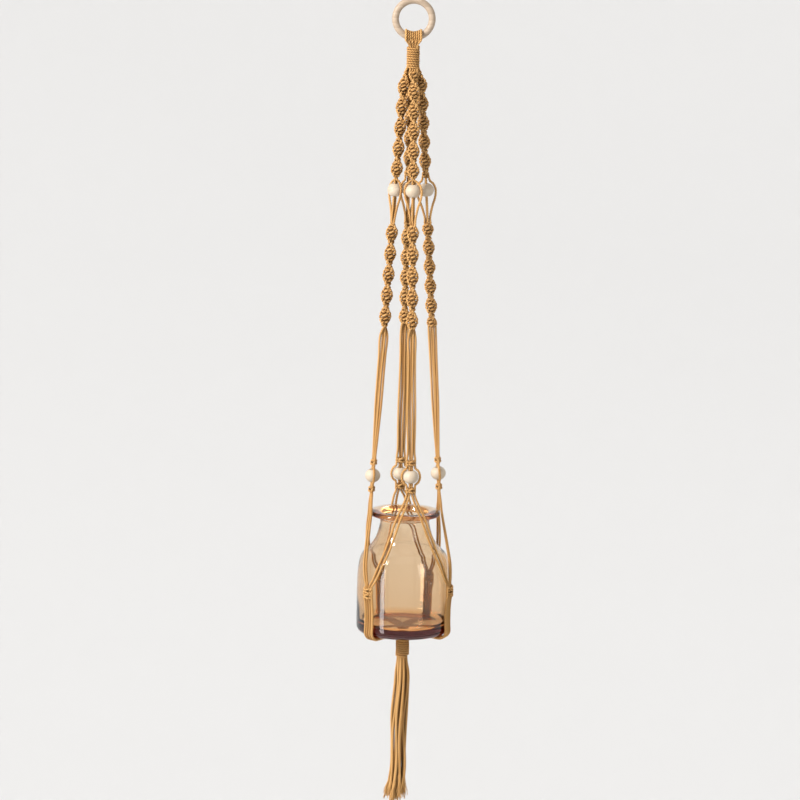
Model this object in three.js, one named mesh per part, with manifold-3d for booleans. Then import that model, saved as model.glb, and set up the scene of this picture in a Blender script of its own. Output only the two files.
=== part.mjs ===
// A hanging macrame planter: a wooden ring, a knotted cord hanger with four arms, and a glass jar.
//
// Millimetres, +Z up. The origin is the top of the ring's hole, where the ceiling hook carries it.
// Sixteen strands hang from the ring as four arms of four. Each arm is a half-knot spiral sinnet,
// a wooden bead, a second sinnet, a straight run, a second bead between two knots, and then splits
// into two pairs. Pairs of neighbouring arms meet in a joining knot on the jar's side, run under
// its base as a flat band, and all sixteen strands end in a wrapped tassel.
import * as THREE from 'three';
import { mergeVertices } from 'three/addons/utils/BufferGeometryUtils.js';
import Module from 'manifold-3d';

const wasm = await Module();
wasm.setup();

// Driving dimensions
const GAP = 0.35; // between pieces that touch
const CORD = 3.0; // cord diameter
const CORD_SIDES = 6;
const STRAND_PITCH = 2.45; // between strands that lie side by side and are one solid
const BAND_PITCH = 3; // between the strands of a cradle band
const degrees = Math.PI / 180;

const RING_MID_RADIUS = 21;
const RING_TUBE_RADIUS = 4;
const RING_CENTRE_Z = -17;
const RING_BAR_Z = RING_CENTRE_Z - RING_MID_RADIUS; // middle of the ring's lowest stretch
const FOLD_HALF_WIDTH = 9;
const TOP_WRAP = { top: -47.2, bottom: -75, radius: 7.75, core: 5.4 };

// Each arm: its azimuth seen from above, the height of its lower bead, the direction in which one
// outer strand passes its upper bead, with the other opposite, and where the balls of its two
// sinnets lie. Hand tying leaves these a little different on each arm. A pitch is the height of a
// half turn of the spiral.
const ARMS = [
  {
    name: 'right',
    azimuth: 9,
    lowerBead: -546,
    upperFacing: 8,
    upperBalls: { first: -91.5, pitch: 22.0 },
    middleBalls: { first: -257.0, pitch: 22.7 },
  },
  {
    name: 'back',
    azimuth: 99,
    lowerBead: -553,
    upperFacing: 35,
    upperBalls: { first: -86.5, pitch: 22.6 },
    middleBalls: { first: -270.5, pitch: 23.6 },
  },
  {
    name: 'left',
    azimuth: 189,
    lowerBead: -548,
    upperFacing: -52,
    upperBalls: { first: -94.0, pitch: 23.7 },
    middleBalls: { first: -262.8, pitch: 24.3 },
  },
  {
    name: 'front',
    azimuth: 279,
    lowerBead: -543,
    upperFacing: -28,
    upperBalls: { first: -99.8, pitch: 22.6 },
    middleBalls: { first: -261.0, pitch: 25.3 },
  },
];
const ARM_TOP = { radius: 10.5, z: -90 }; // a point on the arm's straight line
const ARM_SLOPE = 0.0622; // outward run for each unit of drop
const ARM_PULL_IN = { depth: 4, fade: 8 }; // how the arms gather under the top wrap

const BALL_HALF_WIDTH = 6.7;
const BALL_HALF_DEPTH = 3.7;
const SINNET_END_RADIUS = 3.2;
const SINNET_END_LENGTH = 7;
const SINNET_SIDES = 8;
const UPPER_SINNET = { top: -76, bottom: -198.9 };
const MIDDLE_SINNET = { top: -251.8, bottom: -372.6 };

const BEAD_RADIUS = 9;
const BEAD_HOLE_RADIUS = 3.5;
const BEAD_CORE_RADIUS = 2.8; // the two strands inside the hole
const UPPER_BEAD_Z = -213;
const KNOT_OFFSET = 16; // from the lower bead's centre to the knots above and below it
const KNOT_SIZE = { halfWidth: 5.6, halfDepth: 4, halfHeight: 3.2 };

// The corners where two arms' pairs meet: azimuth of the joining knot and its two arms.
const CORNERS = [
  { name: 'front_right', azimuth: 335, arms: ['front', 'right'] },
  { name: 'back_right', azimuth: 57, arms: ['right', 'back'] },
  { name: 'back_left', azimuth: 121, arms: ['back', 'left'] },
  { name: 'front_left', azimuth: 226, arms: ['left', 'front'] },
];
const JOINING_KNOT = { radius: 59.4, z: -681, halfWidth: 6.6, halfDepth: 3.8, halfHeight: 6 };
const BAND_BEND_EASE = 1; // how far the bands stand off the jar's rounded bottom edge
const PAIR_SPREAD = 2.95; // from a knot's middle to the middle of each pair that leaves it

const JAR = { rimTop: -589.6, rimRadius: 40.5, bodyRadius: 55.2, base: -735, corner: 7, wall: 3 };
const JAR_FLOOR = -725;
const JAR_SEGMENTS = 24;

const BASE_WRAP = { top: -742.8, bottom: -767, radius: 8.25, core: 5.6 };
const GATHER_RADIUS = 10.1;
const TASSEL = { pivot: -775, domeRadius: 7.2, neckRadius: 9.2, endRadius: 13, end: -942 };

// Materials
const cordMaterial = new THREE.MeshStandardMaterial({ color: '#c08b45', roughness: 0.95 });
const woodMaterial = new THREE.MeshStandardMaterial({ color: '#dcc6a2', roughness: 0.6 });
const glassMaterial = new THREE.MeshStandardMaterial({
  color: '#a8764a',
  roughness: 0.08,
  transparent: true,
  opacity: 0.45,
});

const planter = new THREE.Group();

function addPart(name, geometry, material, parent = planter) {
  const mesh = new THREE.Mesh(geometry, material);
  mesh.name = name;
  parent.add(mesh);
  return mesh;
}

// Solids: joining and cutting closed meshes
function toSolid(geometry) {
  const bare = geometry.clone();
  bare.deleteAttribute('normal');
  bare.deleteAttribute('uv');
  const merged = mergeVertices(bare, 1e-4);
  const mesh = new wasm.Mesh({
    numProp: 3,
    vertProperties: new Float32Array(merged.attributes.position.array),
    triVerts: new Uint32Array(merged.index.array),
  });
  return new wasm.Manifold(mesh);
}

function toGeometry(solid) {
  const mesh = solid.getMesh();
  const geometry = new THREE.BufferGeometry();
  geometry.setAttribute('position', new THREE.BufferAttribute(mesh.vertProperties, 3));
  geometry.setIndex(new THREE.BufferAttribute(mesh.triVerts, 1));
  geometry.computeVertexNormals();
  return geometry;
}

function join(geometries) {
  return toGeometry(geometries.map(toSolid).reduce((whole, piece) => whole.add(piece)));
}

// Shapes
function polar(radius, azimuth, z) {
  const angle = azimuth * degrees;
  return new THREE.Vector3(radius * Math.cos(angle), radius * Math.sin(angle), z);
}

function turn(from, to) {
  // The shorter way round from one azimuth to another, in degrees.
  return ((((to - from) % 360) + 540) % 360) - 180;
}

function cord(points, steps, diameter = CORD) {
  const section = new THREE.Shape();
  for (let side = 0; side < CORD_SIDES; side += 1) {
    const angle = (side / CORD_SIDES) * 2 * Math.PI;
    const x = (diameter / 2) * Math.cos(angle);
    const y = (diameter / 2) * Math.sin(angle);
    if (side === 0) section.moveTo(x, y);
    else section.lineTo(x, y);
  }
  section.closePath();
  const path = new THREE.CatmullRomCurve3(points, false, 'centripetal');
  return new THREE.ExtrudeGeometry(section, { steps, extrudePath: path, bevelEnabled: false });
}

// Two strands that lie side by side along a route, as one solid. across gives their side at each
// point of the route.
function pairOfStrands(points, across) {
  const offsets = [-STRAND_PITCH / 2, STRAND_PITCH / 2];
  return join(offsets.map((offset) =>
    cord(points.map((point, i) => point.clone().addScaledVector(across[i], offset)), 8)));
}

function lathe(profile, segments) {
  const points = profile.map(([radius, z]) => new THREE.Vector2(radius, z));
  return new THREE.LatheGeometry(points, segments).rotateX(Math.PI / 2);
}

function tube(inner, outer, top, bottom, segments) {
  return lathe(
    [
      [inner, bottom],
      [outer, bottom],
      [outer, top],
      [inner, top],
      [inner, bottom],
    ],
    segments,
  );
}

function knot(size) {
  const geometry = new THREE.SphereGeometry(1, 9, 6).rotateX(Math.PI / 2);
  return geometry.scale(size.halfDepth, size.halfWidth, size.halfHeight);
}

// Ring, fold and top wrap
function ringRise(x) {
  // How far the ring's inner edge at x is from the middle of its lowest stretch.
  const inner = RING_MID_RADIUS - RING_TUBE_RADIUS;
  return RING_MID_RADIUS - Math.sqrt(inner * inner - x * x);
}

function spool(halfWidth, extra) {
  // A solid of revolution about the ring's lowest stretch that clears the ring by extra.
  const profile = [[0, -halfWidth]];
  const stations = 6;
  for (let i = 0; i <= stations; i += 1) {
    const x = -halfWidth + (i / stations) * 2 * halfWidth;
    profile.push([ringRise(x) + extra, x]);
  }
  profile.push([0, halfWidth]);
  return lathe(profile, 16).rotateY(Math.PI / 2).translate(0, 0, RING_BAR_Z);
}

function makeRing() {
  const ring = new THREE.TorusGeometry(RING_MID_RADIUS, RING_TUBE_RADIUS, 8, 28);
  ring.rotateX(Math.PI / 2).translate(0, 0, RING_CENTRE_Z);
  addPart('wooden_ring', ring, woodMaterial);

  const neck = lathe(
    [
      [0, TOP_WRAP.bottom],
      [TOP_WRAP.core, TOP_WRAP.bottom],
      [TOP_WRAP.core, TOP_WRAP.top + GAP],
      [7.2, TOP_WRAP.top + GAP],
      [7.2, RING_BAR_Z],
      [0, RING_BAR_Z],
    ],
    12,
  );
  const cords = toSolid(spool(FOLD_HALF_WIDTH, GAP + CORD)).add(toSolid(neck));
  const fold = cords.subtract(toSolid(spool(FOLD_HALF_WIDTH + 1, GAP)));
  addPart('ring_fold', toGeometry(fold), cordMaterial);

  const wrap = tube(TOP_WRAP.core + GAP, TOP_WRAP.radius, TOP_WRAP.top, TOP_WRAP.bottom, 16);
  addPart('top_wrap', wrap, cordMaterial);
}

// Arms
function armRadius(z) {
  const line = ARM_TOP.radius + (ARM_TOP.z - z) * ARM_SLOPE;
  const gathered = ARM_PULL_IN.depth * Math.exp((z - UPPER_SINNET.top) / ARM_PULL_IN.fade);
  return line - gathered;
}

function armPoint(arm, z) {
  return polar(armRadius(z), arm.azimuth, z);
}

// A group whose +Z runs up along the arm, standing on the arm's line at height z. Its +X starts
// near the row's +X and turns by facing, in degrees, about the arm.
function armFrame(arm, z, facing) {
  const frame = new THREE.Group();
  frame.position.copy(armPoint(arm, z));
  const up = armPoint(arm, z + 5).sub(armPoint(arm, z - 5)).normalize();
  frame.quaternion.setFromUnitVectors(new THREE.Vector3(0, 0, 1), up);
  frame.rotateZ(facing * degrees);
  planter.add(frame);
  return frame;
}

function sinnet(arm, run, balls) {
  const length = run.top - run.bottom;
  const steps = Math.round(length / 5.1);
  const geometry = new THREE.CylinderGeometry(1, 1, length, SINNET_SIDES, steps);
  geometry.rotateX(Math.PI / 2).translate(0, 0, (run.top + run.bottom) / 2);
  const position = geometry.attributes.position;
  const point = new THREE.Vector3();
  for (let i = 0; i < position.count; i += 1) {
    point.fromBufferAttribute(position, i);
    const fromEnd = Math.min(run.top - point.z, point.z - run.bottom);
    const fullness = Math.min(1, fromEnd / SINNET_END_LENGTH);
    const wide = THREE.MathUtils.lerp(SINNET_END_RADIUS, BALL_HALF_WIDTH, fullness);
    const deep = THREE.MathUtils.lerp(SINNET_END_RADIUS, BALL_HALF_DEPTH, fullness);
    const twist = (Math.PI * (balls.first - point.z)) / balls.pitch;
    const x = point.x * wide;
    const y = point.y * deep;
    const middle = armPoint(arm, point.z);
    position.setXYZ(
      i,
      middle.x + x * Math.cos(twist) - y * Math.sin(twist),
      middle.y + x * Math.sin(twist) + y * Math.cos(twist),
      point.z,
    );
  }
  geometry.computeVertexNormals();
  return geometry;
}

function bead() {
  const profile = [];
  const rim = Math.asin(BEAD_HOLE_RADIUS / BEAD_RADIUS);
  const stations = 6;
  for (let i = 0; i <= stations; i += 1) {
    const angle = Math.PI - rim - (i / stations) * (Math.PI - 2 * rim);
    profile.push([BEAD_RADIUS * Math.sin(angle), BEAD_RADIUS * Math.cos(angle)]);
  }
  profile.push(profile[0]);
  return lathe(profile, 16);
}

// Two strands through the bead's hole and one round each side. side lists the right-hand strand's
// route as distances out from the arm's line and up from the bead's centre.
function beadCords(side) {
  const top = side[0][1];
  const bottom = side[side.length - 1][1];
  const core = cord(
    [new THREE.Vector3(0, 0, top), new THREE.Vector3(0, 0, bottom)],
    1,
    2 * BEAD_CORE_RADIUS,
  );
  const round = [1, -1].map((hand) =>
    cord(side.map(([out, up]) => new THREE.Vector3(hand * out, 0, up)), side.length));
  return join([core, ...round]);
}

const UPPER_BEAD_SIDE = [
  [1.8, 12.2],
  [4.6, 10.4],
  [8.2, 7.4],
  [10.9, 2],
  [11, -4],
  [9.7, -10],
  [6.8, -17],
  [3.8, -27],
  [1.9, -37.4],
];
const LOWER_BEAD_SIDE = [
  [1.9, 11.3],
  [5.2, 9.8],
  [8.6, 6.7],
  [10.9, 0],
  [8.6, -6.7],
  [5.2, -9.8],
  [1.9, -11.3],
];
// Where the four strands of a straight run lie, across it and out of its middle plane.
const STRAIGHT_STRANDS = [
  [-3.4, 0.35],
  [-1.1, -0.45],
  [1.1, 0.45],
  [3.4, -0.35],
];
const STRAIGHT_STATIONS = [0, 0.35, 0.7, 1];

// The flat run of four strands below the second sinnet. It leaves the sinnet lying along x and
// turns until it lies flat to the jar, where the stop knot holds it.
function straightRun(arm) {
  const top = MIDDLE_SINNET.bottom - GAP;
  const bottom = arm.lowerBead + KNOT_OFFSET + KNOT_SIZE.halfHeight + GAP;
  const quarter = turn(0, arm.azimuth + 90);
  const lastFacing = Math.abs(quarter) > 90 ? quarter - Math.sign(quarter) * 180 : quarter;
  return join(STRAIGHT_STRANDS.map(([across, out]) =>
    cord(
      STRAIGHT_STATIONS.map((share) => {
        const place = new THREE.Vector3(across, out, 0);
        place.applyAxisAngle(new THREE.Vector3(0, 0, 1), share * lastFacing * degrees);
        return armPoint(arm, THREE.MathUtils.lerp(top, bottom, share)).add(place);
      }),
      4,
    )));
}

function makeArm(arm) {
  addPart(`${arm.name}_upper_sinnet`, sinnet(arm, UPPER_SINNET, arm.upperBalls), cordMaterial);
  addPart(`${arm.name}_middle_sinnet`, sinnet(arm, MIDDLE_SINNET, arm.middleBalls), cordMaterial);

  const upper = armFrame(arm, UPPER_BEAD_Z, arm.upperFacing);
  addPart(`${arm.name}_upper_bead`, bead(), woodMaterial, upper);
  addPart(`${arm.name}_upper_bead_cords`, beadCords(UPPER_BEAD_SIDE), cordMaterial, upper);

  // The lower knots lie flat to the jar, so their outer strands pass the bead on its two sides.
  const lower = armFrame(arm, arm.lowerBead, arm.azimuth + 90);
  addPart(`${arm.name}_lower_bead`, bead(), woodMaterial, lower);
  addPart(`${arm.name}_lower_bead_cords`, beadCords(LOWER_BEAD_SIDE), cordMaterial, lower);
  for (const [name, offset] of [['stop_knot', KNOT_OFFSET], ['split_knot', -KNOT_OFFSET]]) {
    const piece = addPart(`${arm.name}_${name}`, knot(KNOT_SIZE), cordMaterial, lower);
    piece.position.z = offset;
    piece.rotation.z = Math.PI / 2;
  }

  addPart(`${arm.name}_straight_cords`, straightRun(arm), cordMaterial);
}

// Pairs, joining knots and cradle bands
// The stations of a pair between its two knots: radius, height and share of the way round.
const PAIR_ROUTE = [
  [41.9, -580, 0.16],
  [43.5, -592, 0.31],
  [47.6, -612, 0.47],
  [52.0, -632, 0.62],
  [56.1, -650, 0.77],
  [57.8, -665, 0.9],
];

function makePair(arm, corner) {
  const way = Math.sign(turn(arm.azimuth, corner.azimuth));
  const topZ = arm.lowerBead - KNOT_OFFSET - KNOT_SIZE.halfHeight - GAP;
  const endZ = JOINING_KNOT.z + JOINING_KNOT.halfHeight + GAP;
  const topRadius = armRadius(topZ);
  const start = arm.azimuth + (way * PAIR_SPREAD) / topRadius / degrees;
  const end = corner.azimuth - (way * PAIR_SPREAD) / JOINING_KNOT.radius / degrees;
  const stations = [[topRadius, topZ, 0], ...PAIR_ROUTE, [58.6, endZ, 1]];
  const azimuths = stations.map(([, , share]) => start + share * turn(start, end));
  const points = stations.map(([radius, z], i) => polar(radius, azimuths[i], z));
  const across = points.map((_, i) => {
    const before = points[Math.max(0, i - 1)];
    const after = points[Math.min(points.length - 1, i + 1)];
    const along = after.clone().sub(before);
    return along.cross(polar(1, azimuths[i], 0)).normalize();
  });
  const name = `${arm.name}_to_${corner.name}_pair`;
  addPart(name, pairOfStrands(points, across), cordMaterial);
}

function bandSection() {
  // Four strands side by side, as one flat strap with rounded edges.
  const half = (3 * BAND_PITCH) / 2;
  const section = new THREE.Shape();
  for (const [sign, from] of [[1, -90], [-1, 90]]) {
    for (const step of [0, 60, 120, 180]) {
      const angle = (from + step) * degrees;
      const x = sign * half + (CORD / 2) * Math.cos(angle);
      const y = (CORD / 2) * Math.sin(angle);
      if (sign === 1 && step === 0) section.moveTo(x, y);
      else section.lineTo(x, y);
    }
  }
  section.closePath();
  return section;
}

function makeCorner(corner) {
  const joining = addPart(`${corner.name}_joining_knot`, knot(JOINING_KNOT), cordMaterial);
  joining.position.copy(polar(JOINING_KNOT.radius, corner.azimuth, JOINING_KNOT.z));
  joining.rotation.z = corner.azimuth * degrees;

  const clear = CORD / 2 + GAP;
  const side = JAR.bodyRadius + clear;
  const under = JAR.base - clear;
  const bend = JAR.corner + clear + BAND_BEND_EASE;
  const bendRadius = JAR.bodyRadius - JAR.corner;
  const bendZ = JAR.base + JAR.corner;
  const route = [[side + 1, JOINING_KNOT.z - JOINING_KNOT.halfHeight - GAP]];
  route.push([side, -700]);
  route.push([side, -720]);
  for (const angle of [15, 45, 75]) {
    route.push([
      bendRadius + bend * Math.cos(angle * degrees),
      bendZ - bend * Math.sin(angle * degrees),
    ]);
  }
  route.push([bendRadius - 8, under], [GATHER_RADIUS + GAP, under]);
  // The band is drawn along the x axis, where its flat section lies square to the jar, then turned.
  const path = new THREE.CatmullRomCurve3(
    route.map(([radius, z]) => new THREE.Vector3(radius, 0, z)),
    false,
    'centripetal',
  );
  const settings = { steps: 14, extrudePath: path, bevelEnabled: false };
  const band = new THREE.ExtrudeGeometry(bandSection(), settings);
  addPart(`${corner.name}_cradle_band`, band, cordMaterial).rotation.z = corner.azimuth * degrees;
}

// Jar
function makeJar() {
  const { rimTop, rimRadius, bodyRadius, base, corner, wall } = JAR;
  const outside = [[0, base]];
  for (const angle of [90, 60, 30, 0]) {
    outside.push([
      bodyRadius - corner + corner * Math.cos(angle * degrees),
      base + corner - corner * Math.sin(angle * degrees),
    ]);
  }
  const shoulder = [
    [bodyRadius, -670],
    [54.1, -659],
    [51.8, -646],
    [47.5, -639.5],
    [40.4, -633],
    [34, -622],
    [30.4, -612],
    [29, -603],
    [30.2, -598.5],
  ];
  const rim = [
    [rimRadius - 2, rimTop - 6.2],
    [rimRadius, rimTop - 4.4],
    [rimRadius, rimTop - 1.8],
    [rimRadius - 2, rimTop],
    [28.5, rimTop],
    [26, rimTop - 2.5],
    [26, -603],
  ];
  const inside = shoulder
    .slice(0, -2)
    .reverse()
    .map(([radius, z]) => [radius - wall, z - 1]);
  const floor = [
    [bodyRadius - wall, JAR_FLOOR + 6],
    [bodyRadius - wall - 6, JAR_FLOOR],
    [0, JAR_FLOOR],
  ];
  addPart('glass_jar', lathe([...outside, ...shoulder, ...rim, ...inside, ...floor], JAR_SEGMENTS),
    glassMaterial);
}

// Gather, base wrap and tassel
function makeTail() {
  const gather = [
    [0, BASE_WRAP.bottom],
    [BASE_WRAP.core, BASE_WRAP.bottom],
    [BASE_WRAP.core, BASE_WRAP.top + 0.5],
    [GATHER_RADIUS, JAR.base - GAP - CORD],
    [GATHER_RADIUS, JAR.base - GAP],
    [0, JAR.base - GAP],
  ];
  addPart('base_gather', lathe(gather, 16), cordMaterial);

  const { top, bottom, radius, core } = BASE_WRAP;
  const wrap = [
    [core + GAP, bottom],
    [radius - 2, bottom],
    [radius, bottom + 2],
    [radius, top - 1],
    [radius - 1, top],
    [core + GAP, top],
    [core + GAP, bottom],
  ];
  addPart('base_wrap', lathe(wrap, 16), cordMaterial);

  const { pivot, domeRadius, neckRadius, endRadius, end } = TASSEL;
  const tassel = [
    [0, end],
    [endRadius - 1, end],
    [endRadius, end + 20],
    [neckRadius, -860],
    [neckRadius, -800],
    [domeRadius, pivot],
  ];
  for (const angle of [30, 60]) {
    tassel.push([
      domeRadius * Math.cos(angle * degrees),
      pivot + domeRadius * Math.sin(angle * degrees),
    ]);
  }
  tassel.push([0, pivot + domeRadius]);
  addPart('tassel', lathe(tassel, 16), cordMaterial);
}

makeRing();
ARMS.forEach(makeArm);
for (const corner of CORNERS) {
  corner.arms.forEach((name) => makePair(ARMS.find((arm) => arm.name === name), corner));
  makeCorner(corner);
}
makeJar();
makeTail();

export default planter;
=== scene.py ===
# The looks of a hanging macrame planter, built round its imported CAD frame. Metres, +Z up.
#
# The hanger is sixteen plied cotton strands, four to an arm. Between the top wrap and the base wrap
# each one is laid as a single smooth way through the knots, beads and bands that it really passes,
# and that way is then cut into the pieces that stand for the CAD nodes. The fold over the ring, the
# wraps and the tassel's strands are laid by themselves. The beads, the ring and the jar are turned.
import math

import bpy
import numpy as np
from mathutils import Matrix, Vector
from mathutils.kdtree import KDTree


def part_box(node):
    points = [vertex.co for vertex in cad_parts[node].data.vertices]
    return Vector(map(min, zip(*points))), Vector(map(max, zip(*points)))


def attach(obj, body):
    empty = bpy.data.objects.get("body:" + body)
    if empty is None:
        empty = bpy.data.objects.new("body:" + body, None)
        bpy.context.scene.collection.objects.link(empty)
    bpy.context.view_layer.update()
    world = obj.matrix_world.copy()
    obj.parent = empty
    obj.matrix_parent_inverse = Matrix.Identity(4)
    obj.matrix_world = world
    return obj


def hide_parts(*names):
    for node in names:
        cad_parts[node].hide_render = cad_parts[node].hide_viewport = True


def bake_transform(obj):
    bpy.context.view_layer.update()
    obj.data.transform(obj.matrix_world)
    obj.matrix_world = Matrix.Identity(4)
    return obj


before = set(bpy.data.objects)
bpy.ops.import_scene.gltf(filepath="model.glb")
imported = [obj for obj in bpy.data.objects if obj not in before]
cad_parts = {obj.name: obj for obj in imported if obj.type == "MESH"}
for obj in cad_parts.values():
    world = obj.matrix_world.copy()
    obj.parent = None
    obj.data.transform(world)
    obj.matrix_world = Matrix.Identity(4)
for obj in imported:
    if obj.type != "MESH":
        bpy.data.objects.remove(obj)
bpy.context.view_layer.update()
draw = np.random.default_rng(7)

# Cord
CORD_RADIUS = 0.00150
KNOTTED_RADIUS = 0.00142  # a cord that is pulled tight in a knot
PLIES = 3
PLY_SIDES = 4  # points round each ply
PLY_PITCH = 0.0088  # height of one turn of a ply
PLY_BULGE = 0.44  # how far a ply's own centre is from the cord's, as a share of the radius
TASSEL_RADIUS = 0.00188  # a cord that hangs free and has begun to untwist
RING_STEP = 0.00072  # between the rings of points along a cord
# The next three set where a cord's colour is painted in shade under another cord.
PROBE_REACH = 2.2  # how far out, in cord radii, to look for a cord that covers a point
COVERED_AT = 0.42  # nearest cord's distance, as a share of the probe's reach, when covered
OPEN_AFTER = 0.50  # and how much more of it makes the point fully open
FIBRES_AROUND = 5.0  # radius of a cord in the fibre pattern
FIBRES_ALONG = 240.0  # length of a metre of cord there
FIBRES_APART = 100.0  # how far a cord's tint, from 0 to 1, shifts the pattern along it

# Spiral sinnets
KNOTS_PER_BALL = 6  # half knots in a half turn of the spiral
UPPER_BALLS = {  # the height of the first widest place and the height of a half turn
    "right": (-0.0915, 0.0220),
    "back": (-0.0865, 0.0226),
    "left": (-0.0940, 0.0237),
    "front": (-0.0998, 0.0226),
}
MIDDLE_BALLS = {
    "right": (-0.2570, 0.0227),
    "back": (-0.2705, 0.0236),
    "left": (-0.2628, 0.0243),
    "front": (-0.2610, 0.0253),
}
END_FULLNESS = 0.62  # a sinnet's width at its very ends, as a share of its full width
SWELL_LENGTH = 0.006  # and how far in it is full
FILLER_OFFSET = 0.00125  # from the arm's line to each filler strand
FILLER_STEP = 0.006  # between the points of a filler's way
THROUGH_OFFSET = 0.0013  # to each strand inside a bead's hole or a joining knot

# Arms
ARM_NAMES = ("right", "back", "left", "front")
UPPER_FACING = {"right": 8, "back": 35, "left": -52, "front": -28}  # degrees, of the bead's cords
ARM_TOP_Z = -0.076
PULL_IN_DEPTH = 0.004  # how far the arms gather at their top
PULL_IN_FADE = 0.008  # and the drop over which that fades
INSIDE_WRAP_Z = -0.066  # where the strands are still hidden in the top wrap
INSIDE_WRAP_RADIUS = 0.0030
WORKER_START = 0.0019  # and how far each strand is from its arm's place there
FILLER_START = 0.0007
KNOT_OFFSET = 0.016  # from a lower bead to the knots above and below it
UPPER_BEAD_SIDE = (  # across and up from the bead's middle, for the strand round its side
    (0.0050, 0.0104),
    (0.0084, 0.0074),
    (0.0108, 0.0015),
    (0.0108, -0.0040),
    (0.0095, -0.0100),
    (0.0069, -0.0170),
    (0.0046, -0.0250),
    (0.0030, -0.0330),
)
LOWER_BEAD_SIDE = (
    (0.0052, 0.0098),
    (0.0088, 0.0065),
    (0.0108, 0.0),
    (0.0088, -0.0065),
    (0.0052, -0.0098),
)
UPPER_BEAD_THROUGH = (0.011, 0.006, -0.006, -0.016, -0.026, -0.034)
LOWER_BEAD_THROUGH = (0.008, 0.0, -0.008)
STRAIGHT_SHARES = (0.06, 0.22, 0.40, 0.58, 0.76, 0.94)  # of the straight run, for its points
STRAIGHT_RANKS = (-0.0040, -0.0013, 0.0013, 0.0040)
STRAIGHT_STAGGER = 0.00045
STRAIGHT_SWAY = 0.0005

# Below the arms
CORNERS = (
    ("front_right", "front", "right"),
    ("back_right", "right", "back"),
    ("back_left", "back", "left"),
    ("front_left", "left", "front"),
)
PAIR_SPREAD = 0.00295  # from a knot's middle to the middle of each pair
PAIR_LOOSENESS = 0.6  # how much further apart a pair's strands lie halfway, as a share
PAIR_ROUTE = (  # radius, height and share of the way round
    (0.0419, -0.580, 0.16),
    (0.0435, -0.592, 0.31),
    (0.0476, -0.612, 0.47),
    (0.0520, -0.632, 0.62),
    (0.0561, -0.650, 0.77),
    (0.0578, -0.665, 0.90),
)
STRAND_PITCH = 0.00300  # between a pair's strands
BAND_RADIUS = 0.00178  # the cords of a band lie loose and a little flattened
BAND_PITCH = 0.00350  # between the four cords of a band
BAND_CLEARANCE = 0.0004  # between a band and the glass
BAND_HEIGHTS = (-0.6905, -0.700, -0.710, -0.720)  # of its points down the jar's side
HEEL_RADIUS = 0.007  # of the jar's rounded bottom edge
HEEL_BEND = 0.0098  # of a band's middle round that edge
GATHER_SQUEEZE = math.radians(22)  # between the cords of a band as they go into the base wrap
GATHER_ROUTE = ((0.0079, 0.0036), (0.0058, 0.0068))  # radius and drop below the jar
GATHER_DROPS = (0.0110, 0.0180)  # of the points inside the base wrap
GATHER_RADII = (0.0042, 0.0028)  # there, for the working cords and for the fillers

# Ring fold and wraps
FOLD_CORDS = 8
FOLD_PITCH = 0.00245
FOLD_DEPTHS = (0.0018, 0.0042)  # of even and odd cords inside the top wrap
FOLD_CLEARANCE = 0.0001
WRAP_TURNS = {"top_wrap": 9.3, "base_wrap": 7.9}
WRAP_START = -0.4  # angle where a wrap's first turn begins
WRAP_TUCK = 0.0030  # how far in a wrap's ends are tucked
WRAP_STEPS = 16  # points in each turn
WRAP_SWELL = 0.00012  # how unevenly the turns lie
WRAP_TINT = 0.35

# Tassel
TASSEL_ENDS = (0.017, 0.032)  # how far above the CAD tassel's foot the strands are cut
TASSEL_NECK = 0.60  # its width inside the wrap, as a share of its width where it is open
TASSEL_OPEN_AT = 0.16  # share of the strand where it is open
TASSEL_TWIST = 0.20  # how far round the tassel a strand wanders, in radians
TASSEL_DRIFT = 0.0011  # how far a strand wanders by itself
TASSEL_LEAN = -0.0045  # how far the whole tassel leans at its end
TASSEL_SWAY = 0.0009  # and how far it waves on the way
FRAY_YARNS = 26
FRAY_YARN_RADIUS = 0.00040
FRAY_RADIUS = 0.0014  # of the strand's end that the yarns come from
FRAY_LENGTHS = (0.010, 0.024)
FRAY_CURL = 0.0008

# Wood and glass
BEAD_HOLE = 0.0034
BEAD_FLATNESS = 0.925  # a bead's height as a share of its width
JAR_WALL = 0.0030
JAR_FOOT_EXTRA = 0.0016  # how much thicker the jar's wall is at its foot

# Camera
CAMERA_DISTANCE = 3.300
CAMERA_HEIGHT = 0.069
CAMERA_SIDE = -0.0081
AIM_HEIGHT = -0.4590
FRAME_WIDTH = 0.9350  # what the frame spans at the planter
CAMERA_ROLL = math.radians(1.02)


def polar(radius, azimuth, z):
    """The point at a radius from the hanger's axis."""
    return np.array((radius * math.cos(azimuth), radius * math.sin(azimuth), z))


def box_middle(node):
    low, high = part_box(node)
    return np.array((low + high) / 2)


def shorter_turn(start, end):
    """The shorter way round from one angle to another."""
    return (end - start + math.pi) % (2 * math.pi) - math.pi


# Camera, stage and light
def make_camera():
    camera = bpy.data.objects.new("camera", bpy.data.cameras.new("camera"))
    bpy.context.scene.collection.objects.link(camera)
    camera.location = (CAMERA_SIDE, -CAMERA_DISTANCE, CAMERA_HEIGHT)
    aim = Vector((CAMERA_SIDE, 0, AIM_HEIGHT)) - camera.location
    upright = aim.to_track_quat("-Z", "Y").to_matrix().to_4x4()
    rolled = upright @ Matrix.Rotation(CAMERA_ROLL, 4, "Z")
    camera.rotation_euler = rolled.to_euler()
    camera.data.sensor_width = 36
    camera.data.lens = 36 * aim.length / FRAME_WIDTH
    camera.data.clip_start = 0.05
    bpy.context.scene.camera = camera


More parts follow.
